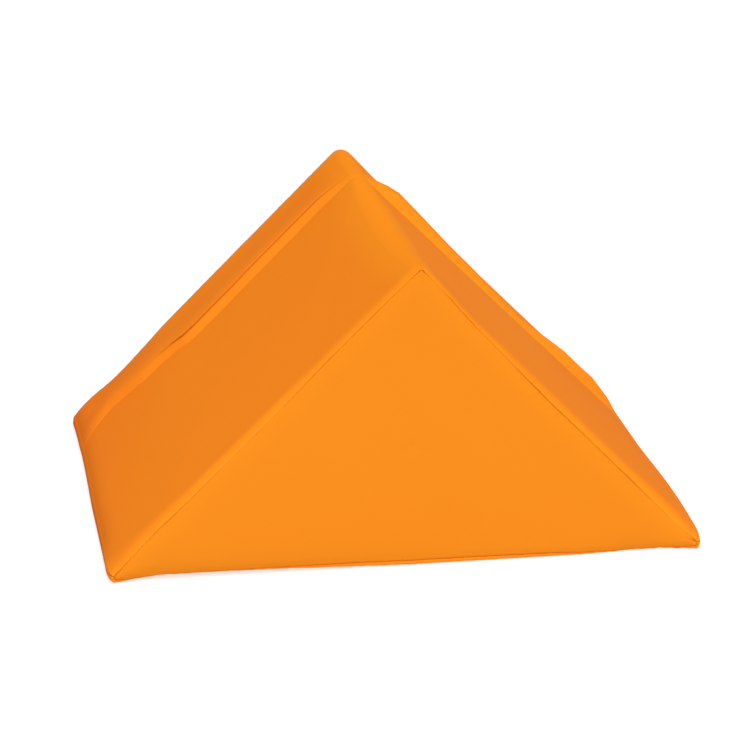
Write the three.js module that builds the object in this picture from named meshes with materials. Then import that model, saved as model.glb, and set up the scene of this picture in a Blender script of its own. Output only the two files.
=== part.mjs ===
// Foam wedge cushion in a sewn cover of coated fabric: a lying prism with a triangular front and back.
// Millimetres. +X runs along the base, +Y from front to back, +Z up, origin under the middle of the base.
import * as THREE from "three";

const { clamp, degToRad, lerp, mapLinear } = THREE.MathUtils;

// The wedge before its edges are rounded
const baseWidth = 619;
const ridgeHeight = 310.5;
const depth = 450;
const ridgeLean = 6; // the front end of the ridge sits this far to the right

// Rounding of the section at the base corners and along the ridge
const baseRound = 8;
const baseTurn = degToRad(135); // about how far the cover turns round a base corner
const ridgeRound = 13;

// How the cover rolls over the front and back edges, from where the roll starts to the seam
const seamTurn = degToRad(60);
const frontRoll = { slopeBack: 15, baseBack: 5, baseIn: 6 };
const backRoll = { inward: 12, back: 20 };

// Crowns of the stuffed faces, and the strip beside an end seam where the face dips to meet it
const frontCrown = 3.5;
const backCrown = 5;
const slopeCrown = 1.5;
const faceDipWidth = 20;

// How far inside the edge the front seam lies, down each slope (share of the way from ridge to base)
const frontSeam = [
  { down: 0, left: 3.6, right: 3.6 },
  { down: 0.1, left: 3, right: 3.2 },
  { down: 0.2, left: 3.2, right: 3.4 },
  { down: 0.3, left: 3.5, right: 4.5 },
  { down: 0.4, left: 4.6, right: 6.2 },
  { down: 0.5, left: 5.3, right: 7.1 },
  { down: 0.6, left: 5.1, right: 6.9 },
  { down: 0.8, left: 6, right: 7.8 },
  { down: 0.92, left: 6.6, right: 8.8 },
  { down: 1, left: 7, right: 7.2 },
];

// The front edge of the base, from its left corner (-1) to its right one (1): how high the seam stands
// above the edge, how far the edge lifts off the ground, and how far it is drawn inwards
const frontBase = [
  { across: -1, seam: 7, lift: 0, drawn: 0 },
  { across: -0.97, seam: 6, lift: 0, drawn: 0.5 },
  { across: -0.93, seam: 2.5, lift: 0.3, drawn: 1 },
  { across: -0.88, seam: 0.8, lift: 2, drawn: 1.8 },
  { across: -0.8, seam: 0.5, lift: 4.4, drawn: 2 },
  { across: -0.6, seam: 0.8, lift: 4.4, drawn: 1.8 },
  { across: -0.4, seam: 2, lift: 3.6, drawn: 1.8 },
  { across: -0.28, seam: 3.4, lift: 2.2, drawn: 2 },
  { across: -0.18, seam: 4.6, lift: 1.2, drawn: 2 },
  { across: 0, seam: 5, lift: 0, drawn: 1 },
  { across: 0.2, seam: 5, lift: 0, drawn: 0.5 },
  { across: 0.45, seam: 4.2, lift: 0, drawn: 0 },
  { across: 0.58, seam: 2.2, lift: 0, drawn: 0 },
  { across: 0.66, seam: 1, lift: 0.4, drawn: 0 },
  { across: 0.75, seam: 0.5, lift: 1.2, drawn: 0 },
  { across: 0.85, seam: 0.5, lift: 1, drawn: -1 },
  { across: 0.93, seam: 2.5, lift: 0.4, drawn: -3.4 },
  { across: 0.97, seam: 5.8, lift: 0, drawn: -8.6 },
  { across: 1, seam: 7.4, lift: 0, drawn: -9.6 },
];
const liftReach = { back: 70, up: 90 }; // the lift fades out this far back and this far up
const drawnUp = 35; // and the drawing in, this far up

// The folded lip over both slopes, where the narrow back band stands proud of the front of the cover.
// It climbs from its seam over its width, then falls behind its rim to the band.
const lip = { width: 17, fall: 3, settle: 70, roundness: 1.7 };

// Down each slope: where the lip's seam lies, how high the lip stands, and how high the band starts behind it
const lipLeft = [
  { down: 0, seam: 328, height: 1.2, band: 1 },
  { down: 0.065, seam: 329.5, height: 4.8, band: 4 },
  { down: 0.1, seam: 330, height: 6.2, band: 5.4 },
  { down: 0.2, seam: 328.5, height: 7.2, band: 6.4 },
  { down: 0.3, seam: 328, height: 7.2, band: 6.4 },
  { down: 0.56, seam: 326.5, height: 7.2, band: 6.4 },
  { down: 0.6, seam: 329, height: 7, band: 6.3 },
  { down: 0.64, seam: 337, height: 6.6, band: 6.2 },
  { down: 0.69, seam: 343, height: 6.4, band: 6.2 },
  { down: 0.76, seam: 346, height: 6, band: 6 },
  { down: 0.83, seam: 356, height: 5.2, band: 5.2 },
  { down: 0.88, seam: 361, height: 4.4, band: 4.4 },
  { down: 0.92, seam: 358, height: 3.2, band: 3.2 },
  { down: 1, seam: 346, height: 0.5, band: 0.5 },
];
const lipRight = [
  { down: 0, seam: 326, height: 1.2, band: 1 },
  { down: 0.065, seam: 326, height: 9.5, band: 2 },
  { down: 0.1, seam: 326, height: 12.2, band: 1.5 },
  { down: 0.2, seam: 326, height: 10.4, band: 1.5 },
  { down: 0.3, seam: 326, height: 8.4, band: 1.5 },
  { down: 0.4, seam: 327, height: 7.6, band: 1.5 },
  { down: 0.47, seam: 328, height: 6.4, band: 1.5 },
  { down: 0.56, seam: 329, height: 5.2, band: 1.5 },
  { down: 0.62, seam: 332, height: 5, band: 3.6 },
  { down: 0.69, seam: 334, height: 6.8, band: 4.7 },
  { down: 0.76, seam: 336, height: 10.4, band: 8.6 },
  { down: 0.83, seam: 338, height: 10, band: 8.3 },
  { down: 0.88, seam: 340, height: 10.4, band: 9 },
  { down: 0.955, seam: 340, height: 5.5, band: 5.5 },
  { down: 1, seam: 340, height: 0, band: 0 },
];

// Groove of the seam between the base panel and the slopes, along both base corners
const baseSeam = { round: 0.62, depth: 1.2, reach: 5 };

// Soft dents and bulges: each moves the skin by push around a point, fading out at its reach
const shaping = [
  { name: "left base edge drawn in", at: [-300, 330, 0], reach: 160, push: [1.8, 0, 0] },
  { name: "right base edge bulge", at: [300, 120, 5], reach: 150, push: [3.5, 0, 0] },
  { name: "back left corner raised", at: [-285, 440, 30], reach: 45, push: [-1.5, 0, 0.8] },
  { name: "back left edge sunk", at: [-240, 445, 65], reach: 70, push: [1.5, -1, -1.5] },
  { name: "back ridge end softened", at: [45, 450, 265], reach: 55, push: [-2, -1, -1.5] },
  { name: "front ridge end filled out", at: [8, 10, 305], reach: 90, push: [3.2, 0, 2.5] },
].map(({ at, reach, push }) => ({ at: new THREE.Vector3(...at), reach, push: new THREE.Vector3(...push) }));

// How many steps the surface takes across each stretch
const steps = { corner: 6, side: 18, panel: 6, roll: 5, belt: 7, band: 4 };
const lipStops = [3, 8, 13, 17, 20, 25]; // distances behind the lip's seam

// The three corners of the section, clockwise from the front: left base, ridge, right base
const halfWidth = baseWidth / 2;
const corners = [
  { at: new THREE.Vector2(-halfWidth, 0), radius: baseRound },
  { at: new THREE.Vector2(0, ridgeHeight), radius: ridgeRound },
  { at: new THREE.Vector2(halfWidth, 0), radius: baseRound },
];
const middleHeight = (halfWidth * ridgeHeight) / (halfWidth + Math.hypot(halfWidth, ridgeHeight));
const middle = new THREE.Vector2(0, middleHeight);

const share = (value) => clamp(value, 0, 1);
const ease = (value) => share(value) ** 2 * (3 - 2 * share(value));

// Straight-line reading of one column of a table against another
function readTable(rows, key, at, value) {
  const next = rows.findIndex((row) => row[key] >= at);
  if (next === 0) return rows[0][value];
  if (next < 0) return rows[rows.length - 1][value];
  const before = rows[next - 1];
  const after = rows[next];
  return mapLinear(at, before[key], after[key], before[value], after[value]);
}

// The rounded section as columns: each has its point, its outward facing, and where it lies.
// Corners and sides are numbered clockwise from the left base corner, round is the share along them.
function sectionColumns() {
  const wayFrom = (index) => corners[(index + 1) % 3].at.clone().sub(corners[index % 3].at).normalize();
  const cornerShape = (index) => {
    const wayOut = wayFrom(index);
    const turn = wayFrom(index + 2).angleTo(wayOut);
    return { wayOut, turn, tangent: corners[index % 3].radius * Math.tan(turn / 2) };
  };
  const columns = [];
  corners.forEach(({ at, radius }, index) => {
    const { wayOut, turn, tangent } = cornerShape(index);
    const facing = new THREE.Vector2(-wayOut.y, wayOut.x);
    const start = at.clone().addScaledVector(wayOut, tangent);
    const centre = start.clone().addScaledVector(facing, -radius);
    for (let step = 0; step <= steps.corner; step += 1) {
      const round = step / steps.corner;
      const turned = facing.clone().rotateAround(new THREE.Vector2(), turn * (1 - round));
      const point = centre.clone().addScaledVector(turned, radius);
      columns.push({ corner: index, round, facing: turned, point });
    }
    const end = corners[(index + 1) % 3].at.clone().addScaledVector(wayOut, -cornerShape(index + 1).tangent);
    for (let step = 1; step < steps.side; step += 1) {
      const round = step / steps.side;
      columns.push({ side: index, round, facing, point: start.clone().lerp(end, round) });
    }
  });
  return columns;
}

// Everything that changes from column to column: seams, rolls and the lip
function dressColumn(column) {
  const { corner, side, round, point } = column;
  let base = side === 2 ? 1 : 0;
  if (corner === 0) base = ease(1 - round);
  if (corner === 2) base = ease(round);
  let down = side === 0 ? 1 - round : round;
  if (corner === 0 || corner === 2 || side === 2) down = 1;
  if (corner === 1) down = 0;
  let rightShare = corner === 0 || side === 0 ? 0 : 1;
  if (corner === 1) rightShare = round;

  const across = clamp(point.x / halfWidth, -1, 1);
  const leftSeam = readTable(frontSeam, "down", down, "left");
  const rightSeam = readTable(frontSeam, "down", down, "right");
  const slopeSeam = lerp(leftSeam, rightSeam, rightShare);
  const seamInside = lerp(slopeSeam, readTable(frontBase, "across", across, "seam"), base);
  const rollInside = lerp(slopeSeam / (1 - Math.cos(seamTurn)), frontRoll.baseIn, base);
  const lipValue = (value) => {
    const [left, right] = [lipLeft, lipRight].map((rows) => readTable(rows, "down", down, value));
    return lerp(left, right, rightShare);
  };
  return {
    ...column,
    base,
    front: {
      inward: rollInside,
      back: lerp(frontRoll.slopeBack, frontRoll.baseBack, base),
      turn: Math.acos(clamp(1 - seamInside / rollInside, -1, 1)),
    },
    rear: { inward: backRoll.inward, back: backRoll.back, turn: seamTurn },
    lipSeam: lipValue("seam"),
    lipHeight: lipValue("height") * (1 - base),
    bandHeight: lipValue("band") * (1 - base),
  };
}

// How far the skin stands out at a distance behind the lip's seam: up the lip, over its rim, along the band
function lipStand({ lipHeight, bandHeight }, behind) {
  if (behind <= 0) return 0;
  if (behind <= lip.width) return lipHeight * (1 - (1 - behind / lip.width) ** lip.roundness);
  const pastCrest = behind - lip.width;
  const band = bandHeight * (1 - ease((pastCrest - lip.fall) / lip.settle));
  return lerp(lipHeight, band, ease(pastCrest / lip.fall));
}

// Groove of the base seam on the base corners
function baseSeamStand({ corner, round }) {
  if (corner !== 0 && corner !== 2) return 0;
  const fromBase = corner === 0 ? round : 1 - round;
  const away = Math.abs(fromBase - baseSeam.round) * baseRound * baseTurn;
  return -baseSeam.depth * share(1 - away / baseSeam.reach) ** 2;
}

// Bulge of a sheet fixed along the three sides: the product of the three corner shares, times 27 so that
// it is 1 in the middle, and 0 on the sides
function bubble(point) {
  const up = share(point.y / ridgeHeight);
  const across = point.x / halfWidth / 2;
  return 27 * up * share((1 - up) / 2 - across) * share((1 - up) / 2 + across);
}

// The section drawn in along its own facing, then shrunk towards its middle
function drawnIn({ point, facing }, inset, scale) {
  return point.clone().addScaledVector(facing, -inset).sub(middle).multiplyScalar(scale).add(middle);
}

// A point of an end panel, scale being 1 at its seam and 0 in its middle; inside is its depth from the end
function panelPoint(column, roll, crown, scale) {
  const point = drawnIn(column, roll.inward * (1 - Math.cos(roll.turn)), scale);
  const dip = share(1 - ((1 - scale) * middleHeight) / faceDipWidth) ** 2;
  return { point, inside: roll.back * (1 - Math.sin(roll.turn)) * dip - crown * bubble(point) };
}

// A point of an edge roll, turn being 0 where it leaves the slope
function rollPoint(column, roll, turn) {
  const point = drawnIn(column, roll.inward * (1 - Math.cos(turn)), 1);
  return { point, inside: roll.back * (1 - Math.sin(turn)) };
}

// A point of the slopes and base between the front roll and the lip, along going from 0 to 1
function beltPoint(column, along) {
  const { side, round, front, lipSeam } = column;
  const onSlope = side === 0 || side === 1;
  const crown = onSlope ? slopeCrown * Math.sin(Math.PI * round) * Math.sin(Math.PI * along) : 0;
  return {
    point: drawnIn(column, -crown - baseSeamStand(column), 1),
    inside: lerp(front.back, lipSeam, along),
  };
}

// A point behind the lip's seam
function bandPoint(column, behind) {
  const stand = lipStand(column, behind) + baseSeamStand(column);
  return { point: drawnIn(column, -stand, 1), inside: column.lipSeam + behind };
}

// Every ring of the skin, from the front panel back over the slopes and base to the back panel
function skinRings(columns) {
  const stops = (count) => Array.from({ length: count }, (_, index) => (index + 1) / count);
  const rings = [];
  const addRing = (place) => rings.push(columns.map(place));
  const fromBack = ({ point, inside }) => ({ point, inside: depth - inside });
  stops(steps.panel).forEach((at) => {
    addRing((column) => panelPoint(column, column.front, frontCrown, at));
  });
  stops(steps.roll).forEach((at) => {
    addRing((column) => rollPoint(column, column.front, column.front.turn * (1 - at)));
  });
  stops(steps.belt).forEach((at) => {
    addRing((column) => beltPoint(column, at));
  });
  lipStops.forEach((behind) => {
    addRing((column) => bandPoint(column, behind));
  });
  const bandStart = lipStops[lipStops.length - 1];
  stops(steps.band).forEach((at) => {
    addRing((column) => bandPoint(column, lerp(bandStart, depth - backRoll.back - column.lipSeam, at)));
  });
  stops(steps.roll).forEach((at) => {
    addRing((column) => fromBack(rollPoint(column, column.rear, column.rear.turn * at)));
  });
  stops(steps.panel).slice(0, -1).reverse().forEach((at) => {
    addRing((column) => fromBack(panelPoint(column, column.rear, backCrown, at)));
  });
  return rings;
}

// The hand shaping of the stuffed wedge: the leaning ridge, the lifted front edge, dents and bulges
function shaped({ point, inside }) {
  const lean = ridgeLean * share(point.y / ridgeHeight) * (1 - inside / depth);
  const skin = new THREE.Vector3(point.x + lean, inside, point.y);
  const across = skin.x / halfWidth;
  const fade = 1 - ease(inside / liftReach.back);
  skin.y += readTable(frontBase, "across", across, "drawn") * share(1 - point.y / drawnUp) ** 2 * fade;
  skin.z += readTable(frontBase, "across", across, "lift") * fade * (1 - ease(point.y / liftReach.up));
  const start = skin.clone();
  shaping.forEach(({ at, reach, push }) => {
    skin.addScaledVector(push, share(1 - (start.distanceTo(at) / reach) ** 2) ** 2);
  });
  skin.z = Math.max(skin.z, 0);
  skin.y -= depth / 2;
  return skin;
}

// One closed skin: a fan round the middle of each end panel and quads between neighbouring rings
function wedgeGeometry() {
  const rings = skinRings(sectionColumns().map(dressColumn));
  const count = rings[0].length;
  const points = rings.flat().map(shaped);
  const frontMiddle = points.length;
  const backMiddle = frontMiddle + 1;
  points.push(shaped({ point: middle, inside: -frontCrown * bubble(middle) }));
  points.push(shaped({ point: middle, inside: depth + backCrown * bubble(middle) }));
  const indices = [];
  for (let column = 0; column < count; column += 1) {
    const next = (column + 1) % count;
    indices.push(frontMiddle, next, column);
    for (let here = 0; here < frontMiddle - count; here += count) {
      const beyond = here + count;
      indices.push(here + column, here + next, beyond + column);
      indices.push(here + next, beyond + next, beyond + column);
    }
    const last = frontMiddle - count;
    indices.push(backMiddle, last + column, last + next);
  }
  const geometry = new THREE.BufferGeometry().setFromPoints(points);
  geometry.setIndex(indices);
  geometry.computeVertexNormals();
  return geometry;
}

const coverMaterial = new THREE.MeshStandardMaterial({ color: "#f28b1e", roughness: 0.48, metalness: 0 });
const wedge = new THREE.Mesh(wedgeGeometry(), coverMaterial);
wedge.name = "wedge_cushion";

const group = new THREE.Group();
group.add(wedge);

export default group;
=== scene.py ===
# Foam wedge cushion in an orange coated-fabric cover, on a pale floor
import bpy
import numpy as np
from mathutils import Matrix, Vector


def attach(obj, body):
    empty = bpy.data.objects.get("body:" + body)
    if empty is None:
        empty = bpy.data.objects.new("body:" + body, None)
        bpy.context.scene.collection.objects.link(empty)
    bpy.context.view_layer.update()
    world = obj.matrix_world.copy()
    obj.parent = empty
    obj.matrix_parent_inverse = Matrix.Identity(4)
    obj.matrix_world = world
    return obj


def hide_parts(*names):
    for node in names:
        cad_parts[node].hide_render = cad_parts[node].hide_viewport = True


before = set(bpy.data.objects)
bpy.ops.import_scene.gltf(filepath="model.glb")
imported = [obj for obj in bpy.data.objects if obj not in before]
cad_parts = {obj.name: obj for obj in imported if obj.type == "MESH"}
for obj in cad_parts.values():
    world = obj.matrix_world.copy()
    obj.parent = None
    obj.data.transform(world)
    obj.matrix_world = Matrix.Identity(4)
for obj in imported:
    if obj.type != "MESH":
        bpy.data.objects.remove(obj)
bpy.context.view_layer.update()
print("frame loaded")

# Camera: a long lens, a little left of the middle and above. Angles in degrees, lens in millimetres.
photoView = {
    "yaw": 9.84,
    "pitch": 19.93,
    "roll": 0.38,
    "lens": 150.466,
    "sensorWidth": 36.0,
    "distance": 3.2707,
    "aim": (0.0, 0.0, 0.1),
    "slideRight": 0.00347,
    "slideUp": 0.0192,
}

# The wedge's sizes in metres, as in its solid
wedge = {
    "baseWidth": 0.619,
    "ridgeHeight": 0.3105,
    "depth": 0.450,
    "ridgeLean": 0.006,       # the front end of the ridge sits this far to the right
    "baseRound": 0.008,
    "ridgeRound": 0.013,
    "apexRound": 0.0055,      # the ridge is tighter where the front seam crosses it
    "ridgeEase": 1.3,         # and rounder between seam and lip, by this share of the difference
    "ridgeEaseShape": 0.7,
    "seamTurn": np.radians(60),
    "cornerTurn": np.radians(80),  # near the base corners the front roll turns further before its seam
    "cornerFrom": 0.85,
    "rollBackBase": 0.005,    # the roll over the front edge, under the base
    "rollInBase": 0.0060,
    "rearIn": 0.012,          # the roll over the back edges
    "rearBack": 0.020,
    "baseTurn": np.radians(135),
    "frontCrown": 0.0030,     # crowns of the stuffed faces
    "backCrown": 0.003,
    "slopeCrown": 0.0005,
    "faceDip": 0.020,         # the strip beside an end seam where the face dips to meet it
    "liftBack": 0.070,        # the front edge's lift fades out this far back and this far up
    "liftUp": 0.090,
    "drawnUp": 0.035,         # and its drawing in, this far up
}

# How far inside the edge the front seam lies, from the ridge (0) down to the base (1), and how far back its roll
# reaches over the slope
frontSeam = {
    "down": [0.00, 0.10, 0.20, 0.30, 0.40, 0.50, 0.60, 0.80, 0.92, 1.00],
    "left": [0.0036, 0.0030, 0.0032, 0.0035, 0.0046, 0.0053, 0.0051, 0.0060, 0.0066, 0.0070],
    "right": [0.0036, 0.0032, 0.0034, 0.0045, 0.0062, 0.0071, 0.0069, 0.0078, 0.0088, 0.0072],
    "leftRoll": [0.015, 0.015, 0.015, 0.015, 0.015, 0.016, 0.016, 0.018, 0.026, 0.036],
    "rightRoll": [0.015, 0.024, 0.024, 0.024, 0.024, 0.022, 0.021, 0.022, 0.026, 0.034],
}

# The front edge of the base from left (-1) to right (1): height of the seam, how far the edge is lifted off the
# ground and drawn inwards, and pull of the seam
frontBase = {
    "across": [-1, -0.97, -0.93, -0.88, -0.80, -0.60, -0.40, -0.28, -0.18,
               0, 0.20, 0.45, 0.58, 0.66, 0.75, 0.85, 0.93, 0.97, 1],
    "seam": [0.0070, 0.0060, 0.0025, 0.0008, 0.0005, 0.0008, 0.0020, 0.0034, 0.0046,
             0.0050, 0.0050, 0.0042, 0.0022, 0.0010, 0.0005, 0.0005, 0.0025, 0.0058, 0.0074],
    "lift": [0, 0, 0.0003, 0.0020, 0.0044, 0.0044, 0.0036, 0.0022, 0.0012,
             0, 0, 0, 0, 0.0004, 0.0012, 0.0010, 0.0004, 0, 0],
    "drawn": [0, 0.0005, 0.0010, 0.0018, 0.0020, 0.0018, 0.0018, 0.0020, 0.0020,
              0.0010, 0.0005, 0, 0, 0, 0, -0.0010, -0.0034, -0.0086, -0.0096],
    "pull": [1.2, 1.2, 1.1, 1.0, 1.0, 0.9, 0.8, 0.8, 0.8, 0.8, 0.8, 0.9, 1.1, 1.4, 1.6, 1.6, 1.6, 1.6, 1.6],
}

# How hard the front seam pulls in down each slope: tight at the apex, loose beside it, uneven all the way down
frontPull = {
    "down": [0.00, 0.015, 0.03, 0.06, 0.11, 0.16, 0.22, 0.29, 0.34, 0.40, 0.46,
             0.53, 0.62, 0.70, 0.76, 0.81, 0.86, 0.92, 0.96, 0.985, 1.00],
    "left": [3.00, 1.50, 0.60, 0.45, 1.10, 1.10, 0.80, 1.00, 1.00, 0.25, 0.05,
             0.08, 0.06, 0.18, 0.60, 1.00, 0.60, 0.30, 0.85, 1.30, 1.60],
    "right": [3.00, 0.90, 0.30, 0.35, 1.50, 1.90, 0.80, 0.55, 1.00, 1.80, 1.60,
              1.60, 1.10, 1.40, 1.80, 1.20, 0.35, 0.08, 0.10, 0.80, 1.60],
}

# The folded lip over both slopes: it climbs from its seam over its width, then drops behind its rim to the band
lip = {
    "width": 0.017,
    "fall": 0.003,
    "settle": 0.070,          # the band sinks into the slope over this length
    "roundness": 1.7,
    "approach": 0.016,        # rings crowd from this far ahead of its seam to that far behind it
    "reach": 0.027,
}
lipLeft = {
    "down": [0, 0.065, 0.10, 0.20, 0.30, 0.56, 0.60, 0.64, 0.69, 0.76, 0.83, 0.88, 0.92, 1],
    "seam": [0.3280, 0.3295, 0.3300, 0.3285, 0.3280, 0.3265, 0.3290, 0.3370, 0.3430, 0.3460, 0.3560, 0.3610,
             0.3580, 0.3460],
    "height": [0.0012, 0.0048, 0.0062, 0.0072, 0.0072, 0.0072, 0.0070, 0.0066, 0.0064, 0.0060, 0.0052, 0.0044,
               0.0032, 0.0005],
    "band": [0.0010, 0.0040, 0.0054, 0.0064, 0.0064, 0.0064, 0.0063, 0.0062, 0.0062, 0.0060, 0.0052, 0.0044,
             0.0032, 0.0005],
    "crease": [0.1, 0.5, 0.8, 0.9, 0.7, 1.4, 1.6, 0.9, 0.2, 0, 0, 0, 0, 0],
}
lipRight = {
    "down": [0, 0.065, 0.10, 0.20, 0.30, 0.40, 0.47, 0.56, 0.62, 0.69, 0.76, 0.83, 0.88, 0.955, 1],
    "seam": [0.3260, 0.3260, 0.3260, 0.3260, 0.3260, 0.3270, 0.3280, 0.3290, 0.3320, 0.3340, 0.3360, 0.3380,
             0.3400, 0.3400, 0.3400],
    "height": [0.0012, 0.0095, 0.0122, 0.0104, 0.0084, 0.0076, 0.0064, 0.0052, 0.0050, 0.0068, 0.0104, 0.0100,
               0.0104, 0.0055, 0.0000],
    "band": [0.0010, 0.0020, 0.0015, 0.0015, 0.0015, 0.0015, 0.0015, 0.0015, 0.0036, 0.0047, 0.0086, 0.0083,
             0.0090, 0.0055, 0.0000],
    "crease": [0.1, 0.3, 0.3, 0.3, 0.3, 0.3, 0.3, 0.2, 0.1, 0, 0, 0, 0, 0, 0],
}

# Soft dents and bulges: the skin moves by push around a point, fading out at its reach (y from the front)
shaping = [
    {"at": (-0.300, 0.330, 0.000), "reach": 0.160, "push": (0.0018, 0, 0)},  # left base edge drawn in
    {"at": (0.300, 0.120, 0.005), "reach": 0.150, "push": (0.0035, 0, 0)},  # right base edge bulging
    {"at": (-0.285, 0.440, 0.030), "reach": 0.045, "push": (-0.0015, 0, 0.0008)},  # back left corner raised
    {"at": (-0.240, 0.445, 0.065), "reach": 0.070, "push": (0.0015, -0.001, -0.0015)},  # back left edge sunk
    {"at": (0.045, 0.450, 0.265), "reach": 0.055, "push": (-0.002, -0.001, -0.0015)},  # back end of the ridge softened
    {"at": (0.008, 0.010, 0.305), "reach": 0.090, "push": (0.0032, 0, 0.0025)},  # front end of the ridge filled out
]

# Seam grooves with a soft swelling beside them, and how wide their shade is
groove = {
    "depth": 0.0012,
    "width": 0.0007,
    "swell": 0.00014,
    "swellAt": 0.0032,
    "swellWidth": 0.0020,
    "shadeWidth": 0.0008,
    "mostPull": 1.9,          # a seam's shade may be stronger than this, its depth not
    "mostShade": 1.5,
    "baseRound": 0.62,        # where the base seam runs round the base corners
    "basePull": 1.0,
    "lipPull": 0.30,
    "lipPullRight": 0.02,
    "sink": 0.0012,           # the seam along the front of the base lies this much deeper
    "sinkEnd": 0.94,          # and no deeper at the corners
    "sinkAbove": 0.007,
    "sinkBelow": 0.0018,
}

# Crease near the top of the lip, as strong as the lip's tables say
crease = {
    "at": 0.0145,             # behind the lip's seam
    "depth": 0.0016,
    "width": 0.0016,
    "shade": 1.4,
}

# The left slope sags towards the base edge and is shaded there, less near its ends
sag = {
    "depth": 0.0028,
    "reach": 0.026,
    "fadeFront": 0.100,
    "fadeBack": 0.020,
    "roundFrom": 0.35,        # round the base corner: where the sag starts
    "shade": 0.75,
    "slopeShade": 0.7,
    "shadeFrom": 0.4,         # and where its shade is full
    "shadeLoss": 0.3,
}

# Columns round the section and rings from the front panel to the back one
fineGrid = {"corner": 22, "slope": 170, "under": 100, "panel": 28, "roll": 18, "belt": 20, "band": 14, "rearRoll": 14}
coarseGrid = {"corner": 4, "slope": 26, "under": 20, "panel": 11, "roll": 3, "belt": 14, "band": 5, "rearRoll": 3}
approachStops = [12, 9, 6.5, 4.8, 3.6, 2.8, 2.1, 1.5, 1.1, 0.7, 0.35, 0]
lipStops = [0.35, 0.7, 1.1, 1.6, 2.2, 3, 4, 5.5, 7, 8.5, 10, 11.2, 12.2, 12.9, 13.4, 13.8, 14.2, 14.6,
            15, 15.4, 15.8, 16.2, 16.6, 17, 17.5, 18, 18.6, 19.2, 20, 21.2, 22.8, 25, 27]
millimetre = 0.001
crowding = {"corner": 1.6, "panel": 2.2, "roll": 1.5}  # powers that crowd columns and rings towards a seam


def ease(share):
    # Smooth step: 3 s^2 - 2 s^3 of the share held between 0 and 1
    held = np.clip(share, 0, 1)
    return held * held * (3 - 2 * held)


def cornerStops(count, closest):
    # Shares from 0 to 1 that crowd together around closest: the distance from it grows as a power of the step
    step = np.linspace(-1, 1, count + 1)
    spread = np.abs(step) ** crowding["corner"]
    return np.where(step < 0, closest * (1 - spread), closest + (1 - closest) * spread)


def sectionColumns(grid, ridgeRound):
    # The triangle clockwise from its left base corner, each corner an arc and each side a straight run
    halfWidth = wedge["baseWidth"] / 2
    corners = np.array([[-halfWidth, 0], [0, wedge["ridgeHeight"]], [halfWidth, 0]])
    radii = np.array([wedge["baseRound"], ridgeRound, wedge["baseRound"]])
    way = np.roll(corners, -1, axis=0) - corners
    way = way / np.linalg.norm(way, axis=1)[:, None]
    facing = np.stack([-way[:, 1], way[:, 0]], axis=1)
    angle = np.arctan2(facing[:, 1], facing[:, 0])
    turn = (np.roll(angle, 1) - angle) % (2 * np.pi)
    tangent = radii * np.tan(turn / 2)
    centre = corners + way * tangent[:, None] - facing * radii[:, None]
    crowded = [groove["baseRound"], 0.5, 1 - groove["baseRound"]]
    sideCounts = [grid["slope"], grid["slope"], grid["under"]]
    parts = []
    for k in range(3):
        share = cornerStops(grid["corner"], crowded[k])
        outward = angle[k] + turn[k] * (1 - share)
        normal = np.stack([np.cos(outward), np.sin(outward)], axis=1)
        parts.append((centre[k] + radii[k] * normal, normal, share, k, -1))
        share = np.linspace(0, 1, sideCounts[k] + 1)[1:-1]
        start = corners[k] + way[k] * tangent[k]
        end = corners[(k + 1) % 3] - way[k] * tangent[(k + 1) % 3]
        parts.append((start + (end - start) * share[:, None], np.tile(facing[k], (len(share), 1)), share, -1, k))
    leg = np.hypot(halfWidth, wedge["ridgeHeight"])
    sizes = [len(part[2]) for part in parts]
    return {
        "point": np.concatenate([part[0] for part in parts]),
        "facing": np.concatenate([part[1] for part in parts]),
        "share": np.concatenate([part[2] for part in parts]),
        "corner": np.repeat([part[3] for part in parts], sizes),
        "side": np.repeat([part[4] for part in parts], sizes),
        "stretch": np.repeat(np.arange(6), sizes),
        "middle": np.array([0, halfWidth * wedge["ridgeHeight"] / (halfWidth + leg)]),
    }


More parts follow.
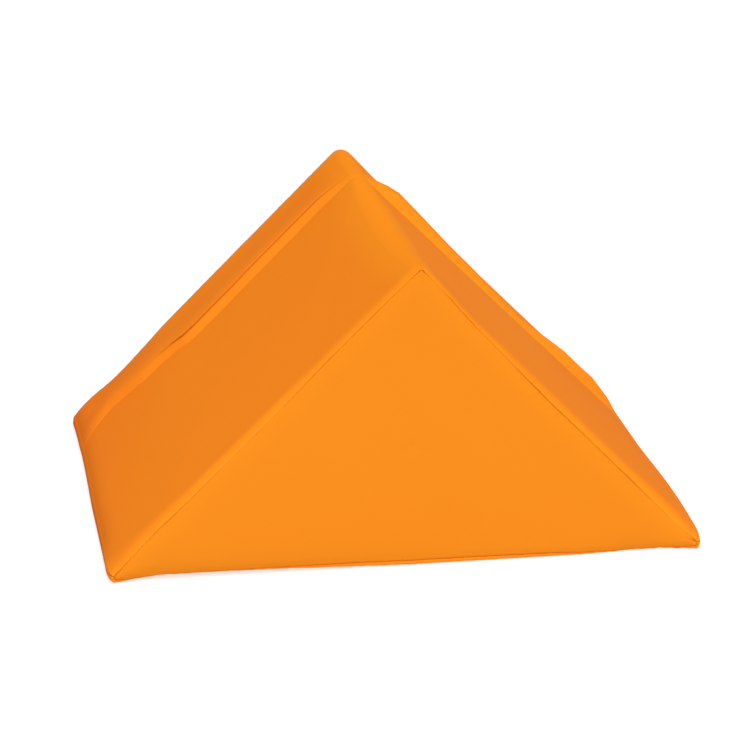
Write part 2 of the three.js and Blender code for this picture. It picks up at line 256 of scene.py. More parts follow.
def dressColumns(columns):
    # What changes from column to column: seams, rolls and lip are read from their tables, blended over the ridge
    corner, side, share = columns["corner"], columns["side"], columns["share"]
    base = np.where(side == 2, 1.0, 0.0)
    base = np.where(corner == 0, ease(1 - share), base)
    base = np.where(corner == 2, ease(share), base)
    down = np.where(side == 0, 1 - share, np.where(side == 1, share, 0.0))
    down = np.where((corner == 0) | (corner == 2) | (side == 2), 1.0, down)
    rightShare = np.where((side == 0) | (corner == 0), 0.0, np.where(corner == 1, share, 1.0))
    across = np.clip(columns["point"][:, 0] / (wedge["baseWidth"] / 2), -1, 1)

    def overSlopes(leftTable, leftName, rightTable, rightName):
        left = np.interp(down, leftTable["down"], leftTable[leftName])
        right = np.interp(down, rightTable["down"], rightTable[rightName])
        return left + (right - left) * rightShare

    slopeSeam = overSlopes(frontSeam, "left", frontSeam, "right")
    seamIn = slopeSeam + (np.interp(across, frontBase["across"], frontBase["seam"]) - slopeSeam) * base
    slopeTurn = np.interp(down, [wedge["cornerFrom"], 1], [wedge["seamTurn"], wedge["cornerTurn"]])
    slopeIn = slopeSeam / (1 - np.cos(slopeTurn))
    rollIn = slopeIn + (wedge["rollInBase"] - slopeIn) * base
    slopeBack = overSlopes(frontSeam, "leftRoll", frontSeam, "rightRoll")
    slopePull = overSlopes(frontPull, "left", frontPull, "right")
    basePull = np.interp(across, frontBase["across"], frontBase["pull"])
    return {
        **columns,
        "base": base,
        "seamIn": seamIn,
        "rollIn": rollIn,
        "rollBack": slopeBack + (wedge["rollBackBase"] - slopeBack) * base,
        "down": down,
        "turn": np.arccos(np.clip(1 - seamIn / rollIn, -1, 1)),
        "pull": slopePull + (basePull - slopePull) * base,
        "lipSeam": overSlopes(lipLeft, "seam", lipRight, "seam"),
        "rightShare": rightShare,
        "lipHeight": overSlopes(lipLeft, "height", lipRight, "height") * (1 - base),
        "bandHeight": overSlopes(lipLeft, "band", lipRight, "band") * (1 - base),
        "crease": overSlopes(lipLeft, "crease", lipRight, "crease") * (1 - base),
    }


def lipStand(behind, columns):
    # Up the lip as h (1 - (1 - b/w)^r), down behind its rim by a smooth step, then settling along the band
    height = columns["lipHeight"]
    climb = height * (1 - (1 - np.clip(behind / lip["width"], 0, 1)) ** lip["roundness"])
    pastCrest = behind - lip["width"]
    band = columns["bandHeight"] * (1 - ease((pastCrest - lip["fall"]) / lip["settle"]))
    dropped = height + (band - height) * ease(pastCrest / lip["fall"])
    return np.where(behind <= 0, 0, np.where(pastCrest <= 0, climb, dropped))


def bubble(point):
    # Bulge of a sheet held along three sides: 27 times the product of the three corner shares
    up = np.clip(point[..., 1] / wedge["ridgeHeight"], 0, 1)
    across = point[..., 0] / wedge["baseWidth"]
    return 27 * up * np.clip((1 - up) / 2 - across, 0, 1) * np.clip((1 - up) / 2 + across, 0, 1)


def shaped(section, inside):
    # Leans the ridge, lifts the front edge of the base and draws it in, then adds each dent as
    # push (1 - (r/reach)^2)^2
    x, z = section[..., 0], section[..., 1]
    y = np.broadcast_to(inside, x.shape)
    x = x + wedge["ridgeLean"] * np.clip(z / wedge["ridgeHeight"], 0, 1) * (1 - y / wedge["depth"])
    fade = (1 - ease(y / wedge["liftBack"])) * (1 - ease(z / wedge["liftUp"]))
    across = x / (wedge["baseWidth"] / 2)
    drawn = np.interp(across, frontBase["across"], frontBase["drawn"])
    y = y + drawn * np.clip(1 - z / wedge["drawnUp"], 0, 1) ** 2 * (1 - ease(y / wedge["liftBack"]))
    z = z + np.interp(across, frontBase["across"], frontBase["lift"]) * fade
    skin = np.stack([x, y, z], axis=-1)
    start = skin.copy()
    for dent in shaping:
        away = np.linalg.norm(start - np.array(dent["at"]), axis=-1) / dent["reach"]
        skin += np.clip(1 - away ** 2, 0, 1)[..., None] ** 2 * np.array(dent["push"])
    skin[..., 2] = np.maximum(skin[..., 2], 0)
    skin[..., 1] -= wedge["depth"] / 2
    return skin


def wedgeSkin(grid):
    # Rings of the section from the middle of the front panel to the middle of the back one.
    # A panel ring is the section drawn in and shrunk; a roll ring turns over the edge; the rest stand at their depth.
    soft = dressColumns(sectionColumns(grid, wedge["ridgeRound"]))
    tight = sectionColumns(grid, wedge["apexRound"])
    middle, middleHeight = soft["middle"], soft["middle"][1]
    depth = wedge["depth"]
    everyColumn = np.ones(len(soft["share"]))
    onSlope = (soft["side"] == 0) | (soft["side"] == 1)
    rings, ringPlaces = [], []

    def drawnIn(inset, scale, tightness):
        point = soft["point"] + (tight["point"] - soft["point"]) * tightness
        return middle + scale * (point - inset[:, None] * soft["facing"] - middle)

    def panelRing(scale, inset, back, turn, crown, tightness):
        section = drawnIn(inset, scale, tightness)
        dip = np.clip(1 - (1 - scale) * middleHeight / wedge["faceDip"], 0, 1) ** 2
        return section, back * (1 - np.sin(turn)) * dip - crown * bubble(section)

    def addRing(place, section, inside):
        rings.append(shaped(section, inside))
        ringPlaces.append(place)

    panelScales = 1 - np.linspace(1, 0, grid["panel"] + 1)[1:] ** crowding["panel"]
    panelScales = np.concatenate([[panelScales[0] / 2], panelScales])
    for scale in panelScales:
        addRing(scale, *panelRing(scale, soft["seamIn"], soft["rollBack"], soft["turn"], wedge["frontCrown"], 1))
    frontRing = len(rings) - 1
    for share in (np.arange(grid["roll"]) + 1) / grid["roll"]:
        turned = share ** crowding["roll"]
        turn = soft["turn"] * (1 - turned)
        section = drawnIn(soft["rollIn"] * (1 - np.cos(turn)), 1, (1 - turned) ** 2)
        addRing(1 + turned, section, soft["rollBack"] * (1 - np.sin(turn)))
    beltEnd = soft["lipSeam"] - lip["approach"]
    for share in (np.arange(grid["belt"]) + 1) / grid["belt"]:
        crown = wedge["slopeCrown"] * np.where(onSlope, np.sin(np.pi * soft["share"]), 0) * np.sin(np.pi * share)
        rounder = wedge["ridgeEase"] * np.sin(np.pi * share) ** wedge["ridgeEaseShape"]
        addRing(2 + share, drawnIn(-crown, 1, -rounder), soft["rollBack"] + (beltEnd - soft["rollBack"]) * share)
    for ahead in np.array(approachStops) * millimetre:
        addRing(4 - ahead / lip["approach"], drawnIn(0 * everyColumn, 1, 0), soft["lipSeam"] - ahead)
    lipRing = len(rings) - 1
    for behind in np.array(lipStops) * millimetre:
        section = drawnIn(-lipStand(behind, soft), 1, 0)
        addRing(4 + behind / lip["reach"], section, soft["lipSeam"] + behind)
    bandStart = soft["lipSeam"] + lip["reach"]
    for share in (np.arange(grid["band"]) + 1) / grid["band"]:
        inside = bandStart + (depth - wedge["rearBack"] - bandStart) * share
        addRing(5 + share, drawnIn(-lipStand(inside - soft["lipSeam"], soft), 1, 0), inside)
    for share in (np.arange(grid["rearRoll"]) + 1) / grid["rearRoll"]:
        turned = 1 - (1 - share) ** crowding["roll"]
        turn = wedge["seamTurn"] * turned
        section = drawnIn(wedge["rearIn"] * (1 - np.cos(turn)) * everyColumn, 1, 0)
        addRing(6 + turned, section, depth - wedge["rearBack"] * (1 - np.sin(turn)))
    backRing = len(rings) - 1
    rearSeamIn = wedge["rearIn"] * (1 - np.cos(wedge["seamTurn"])) * everyColumn
    for scale in panelScales[-2::-1]:
        section, inside = panelRing(scale, rearSeamIn, wedge["rearBack"], wedge["seamTurn"], wedge["backCrown"], 0)
        addRing(8 - scale, section, depth - inside)
    poles = [
        shaped(middle, -wedge["frontCrown"] * bubble(middle)),
        shaped(middle, depth + wedge["backCrown"] * bubble(middle)),
    ]
    return {
        "rings": np.array(rings),
        "poles": np.array(poles),
        "ringPlaces": np.array(ringPlaces),
        "columnPlaces": soft["stretch"] + soft["share"],
        "columns": soft,
        "frontRing": frontRing,
        "lipRing": lipRing,
        "backRing": backRing,
    }


def ringNormals(rings):
    # Cross product of the steps to the neighbouring columns and rings
    round_ = np.roll(rings, -1, axis=1) - np.roll(rings, 1, axis=1)
    along = np.gradient(rings, axis=0)
    normal = np.cross(round_, along)
    return normal / np.maximum(np.linalg.norm(normal, axis=2, keepdims=True), 1e-12)


def skinMesh(name, rings, poles):
    # A closed mesh: quads between neighbouring rings and a fan of triangles round each pole
    ringCount, count = rings.shape[:2]
    points = np.concatenate([rings.reshape(-1, 3), poles])
    here = np.arange(count)
    after = (here + 1) % count
    start = (np.arange(ringCount - 1) * count)[:, None]
    quads = np.stack([start + here, start + after, start + count + after, start + count + here], axis=-1)
    last = (ringCount - 1) * count
    frontPole, backPole = np.full(count, len(points) - 2), np.full(count, len(points) - 1)
    fans = np.concatenate([
        np.stack([frontPole, after, here], axis=-1),
        np.stack([backPole, last + here, last + after], axis=-1),
    ])
    return meshFromArrays(name, points, [quads.reshape(-1, 4), fans])


def meshFromArrays(name, points, faceSets):
    # One mesh object from a point array and arrays of faces with three or four corners
    mesh = bpy.data.meshes.new(name)
    mesh.vertices.add(len(points))
    mesh.vertices.foreach_set("co", points.astype(np.float32).ravel())
    loops = np.concatenate([faces.ravel() for faces in faceSets])
    sizes = np.concatenate([np.full(len(faces), faces.shape[1]) for faces in faceSets])
    mesh.loops.add(len(loops))
    mesh.loops.foreach_set("vertex_index", loops.astype(np.int32))
    mesh.polygons.add(len(sizes))
    mesh.polygons.foreach_set("loop_start", (np.cumsum(sizes) - sizes).astype(np.int32))
    mesh.update(calc_edges=True)
    mesh.validate()
    mesh.shade_smooth()
    made = bpy.data.objects.new(name, mesh)
    bpy.context.scene.collection.objects.link(made)
    return made


# Foam pressure, worked out by Blender's cloth on a coarse copy of the skin that is held at its seams and its base
stuffing = {
    "pressure": 4.0,
    "frames": 20,
    "stretch": 40.0,
    "bending": 5.0,
    "smoothings": 3,
    "mostPush": 0.0022,
    "heldBelow": 0.0015,
    "panelEdge": 8,           # power that ends the panels' swell at their seams
}


def panelRings(skin):
    # The rings inside the front seam and those inside the back one
    return slice(0, skin["frontRing"]), slice(skin["backRing"] + 1, None)


def stuffingPush():
    # Lets the cloth swell, then gives each coarse point's move along its normal, scaled so that the most is mostPush.
    # On the end panels only as much of it is kept as fits the bubble's form best: one number for each panel.
    skin = wedgeSkin(coarseGrid)
    rings, columns = skin["rings"], skin["columns"]
    copy = skinMesh("stuffingCopy", rings, skin["poles"])
    held = rings[..., 2] < stuffing["heldBelow"]
    held[[skin["frontRing"], skin["backRing"], skin["lipRing"]]] = True
    seamColumn = (columns["corner"] == 0) | (columns["corner"] == 2)
    held[skin["frontRing"]:skin["backRing"], seamColumn] = True
    group = copy.vertex_groups.new(name="held")
    group.add(np.flatnonzero(held.ravel()).tolist(), 1.0, "REPLACE")
    cloth = copy.modifiers.new("pressure", "CLOTH")
    settings = cloth.settings
    settings.use_pressure = True
    settings.uniform_pressure_force = stuffing["pressure"]
    settings.vertex_group_mass = group.name
    settings.tension_stiffness = settings.compression_stiffness = stuffing["stretch"]
    settings.bending_stiffness = stuffing["bending"]
    settings.effector_weights.gravity = 0
    cloth.point_cache.frame_end = stuffing["frames"]
    for number in range(1, stuffing["frames"] + 1):
        bpy.context.scene.frame_set(number)
    swollen = copy.evaluated_get(bpy.context.evaluated_depsgraph_get()).to_mesh()
    points = np.empty(len(swollen.vertices) * 3, np.float32)
    swollen.vertices.foreach_get("co", points)
    moved = points.reshape(-1, 3)[:-2].reshape(rings.shape) - rings
    bpy.context.scene.frame_set(1)
    bpy.data.objects.remove(copy)
    push = (moved * ringNormals(rings)).sum(axis=2)
    for _ in range(stuffing["smoothings"]):
        push = (push + np.roll(push, 1, axis=1) + np.roll(push, -1, axis=1)) / 3
        push[1:-1] = (push[:-2] + push[1:-1] + push[2:]) / 3
    push = np.clip(push, 0, None)
    print("cloth swell before its cap, in mm:", round(float(push.max()) * 1000, 2))
    push *= stuffing["mostPush"] / max(push.max(), 1e-9)
    form = bubble(rings[..., [0, 2]])
    panelSwell = []
    for panel in panelRings(skin):
        panelSwell.append((push[panel] * form[panel]).sum() / (form[panel] ** 2).sum())
        push[panel] = 0
    return skin, push, panelSwell


def readPush(coarse, push, ringPlaces, columnPlaces):
    # Straight-line reading of the coarse push at the fine grid's ring and column places, closing round the section
    places = np.append(coarse["columnPlaces"], 6)
    wide = np.concatenate([push, push[:, :1]], axis=1)
    before = np.clip(np.searchsorted(places, columnPlaces, side="right") - 1, 0, len(places) - 2)
    gap = np.maximum(places[before + 1] - places[before], 1e-9)
    part = np.clip((columnPlaces - places[before]) / gap, 0, 1)
    byColumn = wide[:, before] * (1 - part) + wide[:, before + 1] * part
    rings = coarse["ringPlaces"]
    below = np.clip(np.searchsorted(rings, ringPlaces, side="right") - 1, 0, len(rings) - 2)
    share = np.clip((ringPlaces - rings[below]) / np.maximum(rings[below + 1] - rings[below], 1e-9), 0, 1)[:, None]
    return byColumn[below] * (1 - share) + byColumn[below + 1] * share


def panelPush(skin, panelSwell):
    # The panels' swell, s bubble (1 - scale^panelEdge), which is nothing at their seams
    push = np.zeros(skin["rings"].shape[:2])
    places = skin["ringPlaces"]
    for panel, swell, scale in zip(panelRings(skin), panelSwell, (places, 8 - places)):
        edge = 1 - scale[panel, None] ** stuffing["panelEdge"]
        push[panel] = swell * bubble(skin["rings"][panel][..., [0, 2]]) * edge
    return push


def seamRelief(away, pull):
    # A bell-shaped groove, -depth exp(-(d/width)^2), with a low swelling on either side of it
    dip = -groove["depth"] * np.exp(-(away / groove["width"]) ** 2)
    swell = groove["swell"] * np.exp(-((np.abs(away) - groove["swellAt"]) / groove["swellWidth"]) ** 2)
    return (dip + swell) * np.minimum(pull, groove["mostPull"])


# Gathers beside the seams and the slow unevenness of the stuffed faces
unevenness = {
    "gather": 0.00018,
    "gatherPitch": 0.011,
    "gatherSecond": 0.6,      # strength of a second wave, three times as long
    "gatherReach": 0.010,
    "slow": 0.00035,
    "slowLengths": (0.17, 0.11, 0.075),
    "slowFrom": 0.03,         # it grows over this height above the ground
}


def seamLines(skin, along):
    # Grooves, gathers and shade of the front, back and lip seams; along is the way from the middle of the front panel
    rings, columns = skin["rings"], skin["columns"]
    height, shade = np.zeros(rings.shape[:2]), np.zeros(rings.shape[:2])
    lipPull = groove["lipPull"] + (groove["lipPullRight"] - groove["lipPull"]) * columns["rightShare"]
    seams = [
        (skin["frontRing"], columns["pull"]),
        (skin["backRing"], np.ones(rings.shape[1])),
        (skin["lipRing"], lipPull * (1 - columns["base"])),
    ]
    for ring, pull in seams:
        away = along - along[ring]
        height += seamRelief(away, pull)
        shade = np.maximum(shade, pull * np.exp(-(away / groove["shadeWidth"]) ** 2))
        seamSteps = np.linalg.norm(np.roll(rings[ring], -1, axis=0) - rings[ring], axis=1)
        walk = np.cumsum(seamSteps)
        turns = max(1, round(walk[-1] / unevenness["gatherPitch"]))
        wave = np.sin(2 * np.pi * turns * walk / walk[-1])
        wave += unevenness["gatherSecond"] * np.sin(2 * np.pi * (turns // 3) * walk / walk[-1])
        reach = np.exp(-(away / unevenness["gatherReach"]) ** 2) * (1 - np.exp(-(away / groove["width"]) ** 2))
        height += unevenness["gather"] * pull * wave * reach
    return height, shade


def frontBaseSink(skin, along):
    # The front seam lies deeper along the base: -sink exp(-(d/reach)^2), with one reach above it and one below
    away = along - along[skin["frontRing"]]
    reach = np.where(away < 0, groove["sinkAbove"], groove["sinkBelow"])
    across = np.abs(skin["rings"][skin["frontRing"], :, 0]) / (wedge["baseWidth"] / 2)
    atCorners = ease((across - groove["sinkEnd"]) / (1 - groove["sinkEnd"]))
    sink = groove["sink"] * skin["columns"]["base"] * (1 - atCorners)
    return -sink * np.exp(-(away / reach) ** 2)


def leftEdgeSag(skin):
    # Falls off up the left slope as (1 - d/reach)^2, goes on round the base corner, and fades towards both ends
    rings, columns = skin["rings"], skin["columns"]
    fromSlope = columns["share"] * np.hypot(wedge["baseWidth"] / 2, wedge["ridgeHeight"])
    onSlope = np.where(columns["side"] == 0, np.clip(1 - fromSlope / sag["reach"], 0, 1) ** 2, 0)
    atLeft = columns["corner"] == 0
    fade = ease((rings[..., 1] + wedge["depth"] / 2) / sag["fadeFront"])
    fadeRear = ease((wedge["depth"] / 2 - rings[..., 1]) / sag["fadeBack"])
    roundCorner = ease((columns["share"] - sag["roundFrom"]) / (1 - sag["roundFrom"]))
    height = -sag["depth"] * np.where(atLeft, roundCorner, onSlope) * fade * fadeRear
    cornerShade = ease(columns["share"] / sag["shadeFrom"]) * (1 - sag["shadeLoss"] * columns["share"])
    return height, sag["shade"] * np.where(atLeft, cornerShade, sag["slopeShade"] * onSlope) * fade


def baseCornerSeam(skin):
    # The seam between cover and base panel, round both base corners and between the two end seams
    columns = skin["columns"]
    fromBase = np.where(columns["corner"] == 0, columns["share"], 1 - columns["share"])
    away = np.abs(fromBase - groove["baseRound"]) * wedge["baseRound"] * wedge["baseTurn"]
    atCorner = np.where((columns["corner"] == 0) | (columns["corner"] == 2), groove["basePull"], 0)
    between = np.zeros((len(skin["rings"]), 1))
    between[skin["frontRing"]:skin["backRing"] + 1] = 1
    shade = atCorner * np.exp(-(away / groove["shadeWidth"]) ** 2)
    return between * seamRelief(away, atCorner), between * shade


def lipCrease(skin, along):
    # A bell-shaped dent, -depth exp(-(d/width)^2), that runs a little ahead of the lip's rim
    columns = skin["columns"]
    crestLength = np.hypot(lip["width"], columns["lipHeight"])
    away = along - along[skin["lipRing"]] - crestLength * crease["at"] / lip["width"]
    bell = np.exp(-(away / crease["width"]) ** 2) * columns["crease"] * (1 - columns["base"])
    return -crease["depth"] * bell, crease["shade"] * bell


def slowWaves(rings):
    # Products of two slanted sines for each length, evenly shared, out of step with each other
    x, y, z = np.moveaxis(rings, 2, 0)
    height = np.zeros(rings.shape[:2])
    for number, length in enumerate(unevenness["slowLengths"]):
        wave = np.sin(2 * np.pi * (x + 0.6 * z) / length + 1.7 * number)
        wave = wave * np.sin(2 * np.pi * (y - 0.4 * z) / (1.3 * length) + 0.9 * number)
        height += unevenness["slow"] / len(unevenness["slowLengths"]) * wave * ease(z / unevenness["slowFrom"])
    return height


def coverRelief(skin):
    # The sum of all reliefs as one height along the normal, and the strongest of all shades
    rings = skin["rings"]
    steps = np.linalg.norm(np.diff(rings, axis=0), axis=2)
    along = np.concatenate([np.zeros((1, rings.shape[1])), np.cumsum(steps, axis=0)])
    reliefs = [seamLines(skin, along), leftEdgeSag(skin), baseCornerSeam(skin), lipCrease(skin, along)]
    height = sum(relief for relief, _ in reliefs) + frontBaseSink(skin, along) + slowWaves(rings)
    shade = np.max([darkness for _, darkness in reliefs], axis=0)
    return height, np.clip(shade, 0, groove["mostShade"])


# Painted highlight and painted shade on the cover's orange: painted highlight along the ridge, beside the front seam
# and where the right slope climbs its lip, painted shade on the left band and low down towards the back
paintedTone = {
    "face": 0.30,
    "paleReach": 0.022,
    "paleReachRight": 0.010,
    "seamReach": 0.008,
    "lipReachRight": 0.017,
    "band": 0.11,
    "low": 0.50,
    "lowBelow": 0.13,
    "lowMiddle": 0.45,        # share of it half-way back, and how far it takes to change by all of it
    "lowRun": 0.5,
}


def paintedLightTone(skin):
    # Painted highlight and shade: face (1 - pale), where pale, the painted highlight, is the strongest of three bells,
    # plus a step of painted shade behind the lip and a slope of painted shade near the ground. Ring places: the front
    # seam is at 1, the lip's seam at 4, the band from 5 on, the back seam at 7.
    columns, rings = skin["columns"], skin["rings"]
    leg = np.hypot(wedge["baseWidth"] / 2, wedge["ridgeHeight"])
    reach = paintedTone["paleReach"] + (paintedTone["paleReachRight"] - paintedTone["paleReach"]) * columns["rightShare"]
    place = skin["ringPlaces"][:, None]
    beforeBack = ease((8 - place) / 0.5)
    onCover = ease((place - 1) / 0.5) * beforeBack
    pale = np.exp(-(columns["down"] * leg / reach) ** 2) * onCover
    ahead = np.clip(columns["lipSeam"] - rings[..., 1] - wedge["depth"] / 2, 0, None)
    rightSlope = columns["rightShare"] * (1 - columns["base"]) * onCover
    pale = np.maximum(pale, rightSlope * np.exp(-(ahead / paintedTone["lipReachRight"]) ** 2) * ease((5.1 - place) / 0.3))
    behind = np.clip(rings[..., 1] - rings[skin["frontRing"], :, 1], 0, None)
    beside = np.exp(-(behind / paintedTone["seamReach"]) ** 2) * (1 - columns["base"])
    pale = np.maximum(pale, np.where(place > 1, beside, 0))
    leftSlope = 1 - np.maximum(columns["base"], columns["rightShare"])
    onBand = ease((place - 4.75) / 0.15) * beforeBack * leftSlope
    towardsBack = np.clip(paintedTone["lowMiddle"] + rings[..., 1] / paintedTone["lowRun"], 0, 1)
    low = np.clip(1 - rings[..., 2] / paintedTone["lowBelow"], 0, 1) * towardsBack
    return np.clip(paintedTone["face"] * (1 - pale) + paintedTone["band"] * onBand + paintedTone["low"] * low, 0, 1)


def panelShare(skin):
    # 1 on the two end panels, 0 on the cover between their seams
    place = skin["ringPlaces"]
    return np.repeat(((place <= 1) | (place >= 7))[:, None], skin["rings"].shape[1], axis=1)


# Sewing thread: short stitches down in the end seams, spindles of five stations and six sides
thread = {
    "pitch": 0.0056,
    "length": 0.0034,
    "radius": 0.00032,
    "raise": 0.0001,
    "sunk": 0.0006,           # and this much deeper where the seam hardly pulls
    "loosePull": 0.3,
    "sides": 6,
    "stations": (-0.98, -0.75, 0, 0.75, 0.98),
}


def stitchRun(line, normals, pull):
    # Small spindles along a line: r = radius sqrt(1 - s^2) round an axis that follows the line
    steps = np.linalg.norm(np.diff(line, axis=0), axis=1)
    walk = np.concatenate([[0], np.cumsum(steps)])
    count = int(walk[-1] / thread["pitch"])
    at = (np.arange(count) + 0.5) * walk[-1] / count
    place = np.stack([np.interp(at, walk, line[:, k]) for k in range(3)], axis=1)
    ahead = np.stack([np.interp(at + thread["pitch"] / 4, walk, line[:, k]) for k in range(3)], axis=1)
    behind = np.stack([np.interp(at - thread["pitch"] / 4, walk, line[:, k]) for k in range(3)], axis=1)
    up = np.stack([np.interp(at, walk, normals[:, k]) for k in range(3)], axis=1)
    way = ahead - behind
    way /= np.linalg.norm(way, axis=1)[:, None]
    sideways = np.cross(way, up)
    sideways /= np.linalg.norm(sideways, axis=1)[:, None]
    up = np.cross(sideways, way)
    station = np.array(thread["stations"])
    girth = thread["radius"] * np.sqrt(1 - station ** 2)
    angle = np.arange(thread["sides"]) * 2 * np.pi / thread["sides"]
    along = station[:, None, None] * thread["length"] / 2 * way[:, None, None, :]
    round_ = np.cos(angle)[:, None] * up[:, None, None, :] + np.sin(angle)[:, None] * sideways[:, None, None, :]
    loose = 1 - np.clip(np.interp(at, walk, pull) / thread["loosePull"], 0, 1)
    place = place + (thread["raise"] - thread["sunk"] * loose)[:, None] * up
    points = place[:, None, None, :] + along + girth[:, None, None] * round_
    return points.reshape(-1, 3), count


def stitchFaces(count):
    # Quads round each spindle and a cap of two quads on each end, repeated for every stitch
    sides, stations = thread["sides"], len(thread["stations"])
    here = np.arange(sides)
    after = (here + 1) % sides
    start = (np.arange(stations - 1) * sides)[:, None]
    quads = np.stack([start + here, start + after, start + sides + after, start + sides + here], axis=-1)
    first = (np.arange(count) * sides * stations)[:, None, None]
    capQuads = np.array([[0, 3, 2, 1], [0, 5, 4, 3]])
    endQuads = capQuads[:, ::-1] + sides * (stations - 1)
    return np.concatenate([
        (first + quads.reshape(1, -1, 4)).reshape(-1, 4),
        (first + np.concatenate([capQuads, endQuads])[None]).reshape(-1, 4),
    ])


class Flow:
    # One value on its way through a node tree: arithmetic between flows and numbers adds Math nodes
    def __init__(self, sheet, socket):
        self.sheet = sheet
        self.socket = socket

    def __add__(self, other):
        return self.sheet.maths("ADD", self, other)

    def __mul__(self, other):
        return self.sheet.maths("MULTIPLY", self, other)

    __radd__ = __add__
    __rmul__ = __mul__


class Sheet:
    # A material's node tree, filled by one method for every kind of node
    def __init__(self, name):
        self.material = bpy.data.materials.new(name)
        self.material.use_nodes = True
        self.tree = self.material.node_tree
        self.tree.nodes.clear()

    def node(self, kind, settings, sockets, output=0):
        made = self.tree.nodes.new(kind)
        for name, value in settings.items():
            setattr(made, name, value)
        for name, value in sockets.items():
            if isinstance(value, Flow):
                self.tree.links.new(value.socket, made.inputs[name])
            else:
                made.inputs[name].default_value = value
        return Flow(self, made.outputs[output]) if made.outputs else made

    def maths(self, operation, *values):
        return self.node("ShaderNodeMath", {"operation": operation}, dict(enumerate(values)))

    def blend(self, share, first, second):
        sockets = {0: share, 6: first, 7: second}
        return self.node("ShaderNodeMix", {"data_type": "RGBA"}, sockets, output=2)


# Coated fabric: satin, finely grained, a little cloudy, with painted shade in its seams, in the lip's crease and along
# the left base edge
coatedFabric = {
    # Ends of the painted highlight and painted shade over the cover (the shade end also takes the random clouds), a
    # copy with less red as painted shade for the brightly lit end panels, and the brown of painted shade in seams and
    # creases
    "paintedHighlightOrange": (0.955, 0.278, 0.0130, 1),
    "paintedShadeAndCloudOrange": (0.870, 0.178, 0.0120, 1),
    "panelPaintedShadeOrange": (0.825, 0.246, 0.0115, 1),
    "paintedShadeBrown": (0.480, 0.068, 0.004, 1),
    "cloudScale": 7.0,
    "clouding": 0.05,
    "mottleScale": 90.0,
    "mottling": 0.5,          # beside the clouds
    # share of the brown of painted shade where the seam shade is full
    "paintedShadeShare": 0.6,
    "grainScale": 750.0,
    "fineScale": 2600.0,
    "fineShare": 0.4,
    "grainDepth": 0.00004,
    "grainStrength": 0.5,
    "roughness": 0.75,
    "roughMottle": 0.08,
    "roughSeam": 0.15,
    "gloss": 0.02,
}


def coatedFabricMaterial():
    sheet = Sheet("coatedFabric")
    place = sheet.node("ShaderNodeTexCoord", {}, {}, output="Object")
    cloud = sheet.node("ShaderNodeTexNoise", {}, {"Vector": place, "Scale": coatedFabric["cloudScale"], "Detail": 3.0})
    mottle = sheet.node("ShaderNodeTexNoise", {}, {"Vector": place, "Scale": coatedFabric["mottleScale"]})
    grain = sheet.node(
        "ShaderNodeTexVoronoi", {"feature": "SMOOTH_F1"}, {"Vector": place, "Scale": coatedFabric["grainScale"]}
    )
    fine = sheet.node("ShaderNodeTexNoise", {}, {"Vector": place, "Scale": coatedFabric["fineScale"]})
    # Attributes: painted shade of seams, creases and the left base edge; painted highlight and shade over the cover;
    # end panels
    seam = sheet.node("ShaderNodeAttribute", {"attribute_name": "seamShade"}, {}, output="Fac")
    highlightShadeShare = sheet.node("ShaderNodeAttribute", {"attribute_name": "paintedLightTone"}, {}, output="Fac")
    onPanel = sheet.node("ShaderNodeAttribute", {"attribute_name": "endPanel"}, {}, output="Fac")
    clouds = (cloud + mottle * coatedFabric["mottling"]) * coatedFabric["clouding"]
    # The cover's colour with painted highlight and painted shade, random clouds on top; the seams then get painted
    # shade
    belt = sheet.blend(highlightShadeShare + clouds, coatedFabric["paintedHighlightOrange"], coatedFabric["paintedShadeAndCloudOrange"])
    # The end panels take a copy of the orange with less red, painted shade for the strongly lit front panel
    panel = sheet.blend(clouds, coatedFabric["panelPaintedShadeOrange"], coatedFabric["paintedShadeAndCloudOrange"])
    litAndShadedColour = sheet.blend(onPanel, belt, panel)
    colour = sheet.blend(seam * coatedFabric["paintedShadeShare"], litAndShadedColour, coatedFabric["paintedShadeBrown"])
    bump = sheet.node("ShaderNodeBump", {}, {
        "Height": grain + fine * coatedFabric["fineShare"],
        "Strength": coatedFabric["grainStrength"],
        "Distance": coatedFabric["grainDepth"],
    })
    rough = coatedFabric["roughness"] + mottle * coatedFabric["roughMottle"] + seam * coatedFabric["roughSeam"]
    finish = sheet.node("ShaderNodeBsdfPrincipled", {}, {
        "Base Color": colour,
        "Roughness": rough,
        "Specular IOR Level": coatedFabric["gloss"],
        "Normal": bump,
    })
    sheet.node("ShaderNodeOutputMaterial", {}, {"Surface": finish})
    return sheet.material


# Spun polyester thread, a shade darker than the cover
spunThread = {
    "orange": (0.70, 0.170, 0.005, 1),
    "dark": (0.52, 0.110, 0.004, 1),
    "plyScale": 1800.0,
    "roughness": 0.6,
    "roughPly": 0.1,
    "gloss": 0.15,
}


def spunThreadMaterial():
    sheet = Sheet("spunThread")
    place = sheet.node("ShaderNodeTexCoord", {}, {}, output="Object")
    ply = sheet.node("ShaderNodeTexNoise", {}, {"Vector": place, "Scale": spunThread["plyScale"]})
    colour = sheet.blend(ply, spunThread["orange"], spunThread["dark"])
    finish = sheet.node("ShaderNodeBsdfPrincipled", {}, {
        "Base Color": colour,
        "Roughness": spunThread["roughness"] + ply * spunThread["roughPly"],
        "Specular IOR Level": spunThread["gloss"],
    })
    sheet.node("ShaderNodeOutputMaterial", {}, {"Surface": finish})
    return sheet.material


# Pale studio: a large floor, a soft sun from the front and above, and a dim sky that is pale at the horizon
studio = {
    "floorSize": 60.0,
    "floorLevel": -0.0004,
    "floorWhite": (0.34, 0.34, 0.34, 1),
    "floorGlow": 0.68,        # the table is lit from within, so that shadows on it are faint
    "keyStrength": 3.42,
    "keyAngle": 45.0,
    "keyElevation": 60.0,
    "skyTop": 0.085,
    "skyHorizon": 0.58,
    "skyFade": 0.22,
}


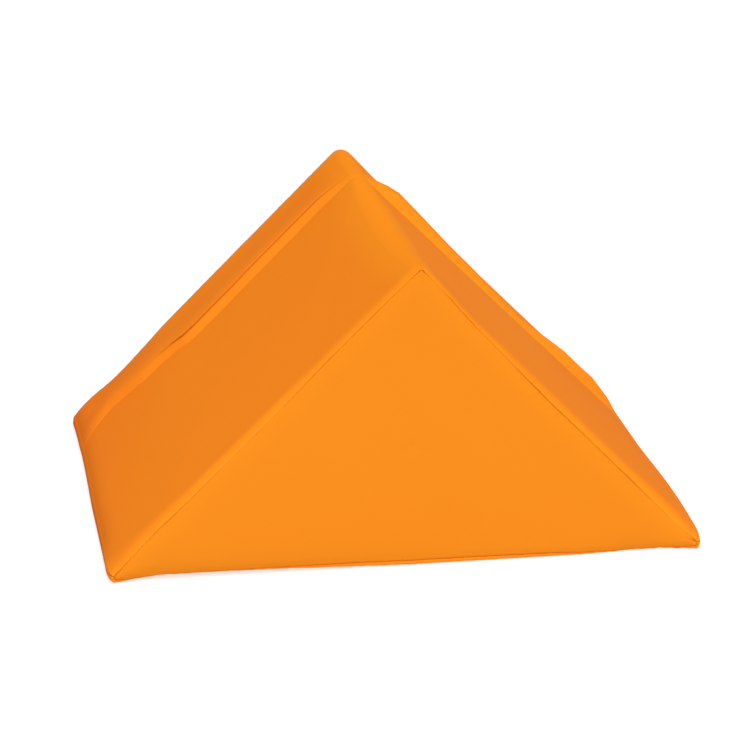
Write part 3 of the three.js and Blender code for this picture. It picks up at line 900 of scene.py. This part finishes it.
def buildStudio():
    sheet = Sheet("paleFloor")
    finish = sheet.node("ShaderNodeBsdfPrincipled", {}, {
        "Base Color": studio["floorWhite"], "Roughness": 0.9, "Specular IOR Level": 0.0,
        "Emission Color": (1, 1, 1, 1), "Emission Strength": studio["floorGlow"],
    })
    sheet.node("ShaderNodeOutputMaterial", {}, {"Surface": finish})
    half = studio["floorSize"] / 2
    level = studio["floorLevel"]
    points = np.array([[-half, -half, level], [half, -half, level], [half, half, level], [-half, half, level]])
    floor = meshFromArrays("floor", points, [np.array([[0, 1, 2, 3]])])
    floor.data.materials.append(sheet.material)

    key = bpy.data.lights.new("key", "SUN")
    key.energy = studio["keyStrength"]
    key.angle = np.radians(studio["keyAngle"])
    keyObject = bpy.data.objects.new("key", key)
    keyObject.rotation_euler = (np.radians(90 - studio["keyElevation"]), 0, 0)
    bpy.context.scene.collection.objects.link(keyObject)

    world = bpy.data.worlds.new("paleSky")
    bpy.context.scene.world = world
    world.use_nodes = True
    nodes, links = world.node_tree.nodes, world.node_tree.links
    sight = nodes.new("ShaderNodeTexCoord")
    apart = nodes.new("ShaderNodeSeparateXYZ")
    fade = nodes.new("ShaderNodeMapRange")
    fade.inputs["From Max"].default_value = studio["skyFade"]
    fade.inputs["To Min"].default_value = studio["skyHorizon"]
    fade.inputs["To Max"].default_value = studio["skyTop"]
    links.new(sight.outputs["Generated"], apart.inputs[0])
    links.new(apart.outputs["Z"], fade.inputs["Value"])
    links.new(fade.outputs["Result"], nodes["Background"].inputs["Strength"])
    nodes["Background"].inputs["Color"].default_value = (1, 1, 1, 1)
    bpy.context.scene.view_settings.view_transform = "Standard"


def placeCamera():
    # Axes from yaw and pitch, turned by roll; stands back from the aimed point, slid right and up to frame the photo
    yaw, pitch, roll = (np.radians(photoView[name]) for name in ("yaw", "pitch", "roll"))
    forward = np.array([np.sin(yaw) * np.cos(pitch), np.cos(yaw) * np.cos(pitch), -np.sin(pitch)])
    level = np.array([np.cos(yaw), -np.sin(yaw), 0])
    upright = np.cross(level, forward)
    right = np.cos(roll) * level + np.sin(roll) * upright
    up = np.cos(roll) * upright - np.sin(roll) * level
    stand = np.array(photoView["aim"]) - forward * photoView["distance"]
    stand = stand + right * photoView["slideRight"] + up * photoView["slideUp"]
    lens = bpy.data.cameras.new("photoCamera")
    lens.lens = photoView["lens"]
    lens.sensor_width = photoView["sensorWidth"]
    lens.clip_start, lens.clip_end = 0.1, 200
    camera = bpy.data.objects.new("photoCamera", lens)
    turned = Matrix([right, up, -forward]).transposed().to_4x4()
    camera.matrix_world = Matrix.Translation(Vector(stand)) @ turned
    bpy.context.scene.collection.objects.link(camera)
    bpy.context.scene.camera = camera


placeCamera()
buildStudio()
print("camera and studio ready")

skin = wedgeSkin(fineGrid)
print("wedge skin worked out, points:", skin["rings"].size // 3)
coarseSkin, push, panelSwell = stuffingPush()
swell = readPush(coarseSkin, push, skin["ringPlaces"], skin["columnPlaces"])
for panel in panelRings(skin):
    swell[panel] = 0
swell += panelPush(skin, panelSwell)
skin["rings"] = skin["rings"] + ringNormals(skin["rings"]) * swell[..., None]
print("stuffing pressed into the cover")

relief, seamShade = coverRelief(skin)
normals = ringNormals(skin["rings"])
coverRings = skin["rings"] + normals * relief[..., None]
coverRings[..., 2] = np.maximum(coverRings[..., 2], 0)
cover = skinMesh("cushion_cover", coverRings, skin["poles"])
# Painted shade of seams, creases and the left base edge, painted highlight and shade over the cover, and the end
# panels' mask
paint = (("seamShade", seamShade, 0), ("paintedLightTone", paintedLightTone(skin), paintedTone["face"]), ("endPanel", panelShare(skin), 1))
for name, values, atPoles in paint:
    layer = cover.data.attributes.new(name, "FLOAT", "POINT")
    layer.data.foreach_set("value", np.append(values.ravel(), [atPoles, atPoles]).astype(np.float32))
cover.data.materials.append(coatedFabricMaterial())
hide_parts("wedge_cushion")
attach(cover, "root")
print("cover made, faces:", len(cover.data.polygons))

lineNormals = ringNormals(coverRings)
closed = np.append(np.arange(coverRings.shape[1]), 0)
frontSeamPull, backSeamPull = skin["columns"]["pull"][closed], np.ones(len(closed))
stitches = [
    stitchRun(coverRings[skin["frontRing"], closed], lineNormals[skin["frontRing"], closed], frontSeamPull),
    stitchRun(coverRings[skin["backRing"], closed], lineNormals[skin["backRing"], closed], backSeamPull),
]
stitchPoints = np.concatenate([points for points, _ in stitches])
stitchTotal = sum(count for _, count in stitches)
sewing = meshFromArrays("sewing_thread", stitchPoints, [stitchFaces(stitchTotal)])
sewing.data.materials.append(spunThreadMaterial())
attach(sewing, "root")
print("stitches sewn:", stitchTotal)
